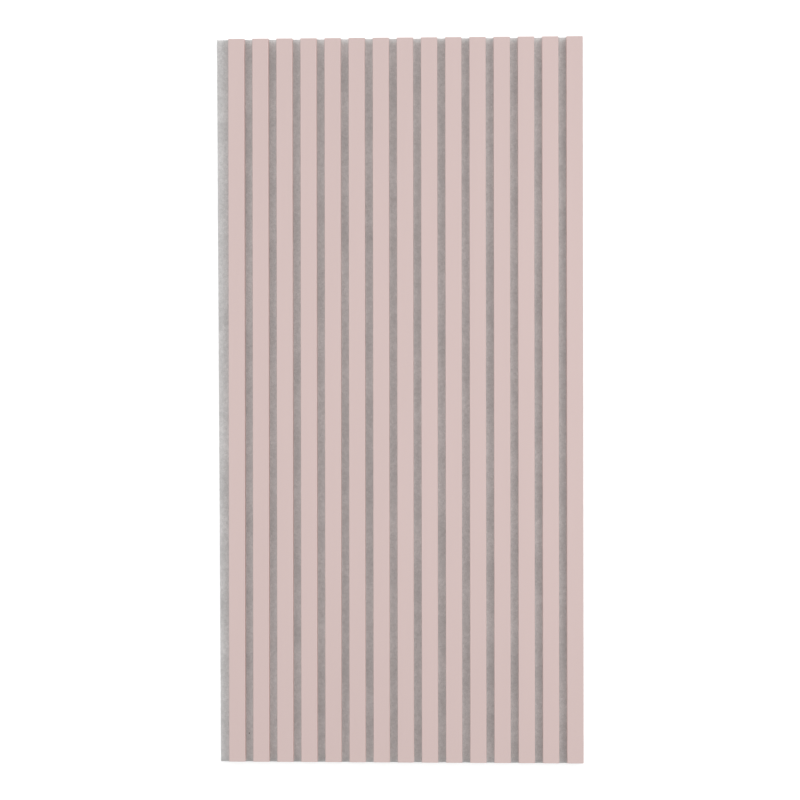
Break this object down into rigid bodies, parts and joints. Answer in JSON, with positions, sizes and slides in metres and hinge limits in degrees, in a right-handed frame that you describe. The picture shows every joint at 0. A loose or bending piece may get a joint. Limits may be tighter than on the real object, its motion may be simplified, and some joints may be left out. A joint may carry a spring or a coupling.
{
  "type": "slatted mdf wall panel",
  "caption": "Flat wall panel of parallel painted MDF slats on a felt backing, with a bare felt lip along one side where the next panel butts; lines walls and damps sound.",
  "frame": {"origin": "middle of the panel's box in plan, on the back of the felt, which lies on the floor", "axes": "+X across the slats from the bare felt lip to the flush edge, +Y along the slats from the foot to the head, where the lip is widest, +Z out of the slats' front"},
  "size_m": [0.607, 1.202, 0.021],
  "materials": {
    "felt": "matte",
    "slat_finish": "matte"
  },
  "bodies": {
    "root": {"felt_backing": "felt", "slat_01": "slat_finish", "slat_02": "slat_finish", "slat_03": "slat_finish", "slat_04": "slat_finish", "slat_05": "slat_finish", "slat_06": "slat_finish", "slat_07": "slat_finish", "slat_08": "slat_finish", "slat_09": "slat_finish", "slat_10": "slat_finish", "slat_11": "slat_finish", "slat_12": "slat_finish", "slat_13": "slat_finish", "slat_14": "slat_finish", "slat_15": "slat_finish"}
  },
  "joints": []
}
